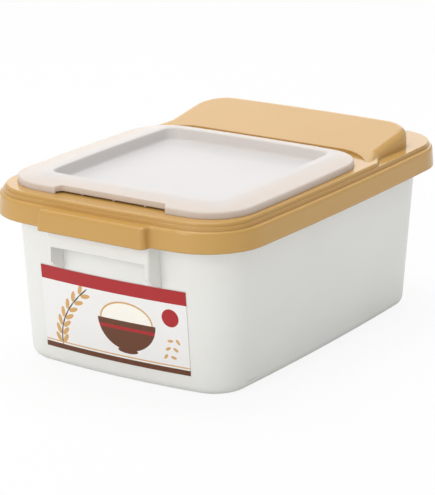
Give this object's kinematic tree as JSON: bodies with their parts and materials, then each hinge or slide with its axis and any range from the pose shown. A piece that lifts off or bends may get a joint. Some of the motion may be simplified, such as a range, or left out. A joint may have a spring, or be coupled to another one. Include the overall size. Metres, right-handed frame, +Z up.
{
  "type": "rice bin with flip lid",
  "caption": "Low rectangular food storage bin with a lift-off sealing lid, a hinged dished filling flap with a finger notch, a front grip, and a loose measuring cup inside.",
  "frame": {"origin": "bottom centre of the whole part's box, on the resting face", "axes": "+Z up, -Y to the front where the grip and the label are, +X to the right seen from the front"},
  "size_m": [0.222, 0.3404, 0.145],
  "materials": {
    "bin_plastic": "off-white injection-moulded polypropylene",
    "label_paper": "printed coated paper",
    "cup_plastic": "translucent injection-moulded polypropylene",
    "lid_plastic": "tan injection-moulded polypropylene",
    "outer_seal": "soft white silicone",
    "flap_plastic": "translucent injection-moulded polypropylene",
    "inner_seal": "soft white silicone"
  },
  "bodies": {
    "bin": {"bin_body": "bin_plastic", "front_label": "label_paper"},
    "lid": {"outer_lid": "lid_plastic", "outer_lid_gasket": "outer_seal"},
    "flap": {"flip_lid": "flap_plastic", "flip_lid_gasket": "inner_seal"},
    "cup": {"measuring_cup": "cup_plastic"}
  },
  "joints": [
    {"name": "outer_lid_lift", "type": "slide", "parent": "bin", "child": "lid", "axis": [0, 0, 1], "range_m": [0, 0.06]},
    {"name": "flip_lid_hinge", "type": "hinge", "parent": "lid", "child": "flap", "pos_m": [0, 0.05925, 0.1338], "axis": [-1, 0, 0], "range_deg": [0, 105]},
    {"name": "cup_lift", "type": "slide", "parent": "bin", "child": "cup", "axis": [0, 0, 1], "range_m": [0, 0.05]}
  ]
}
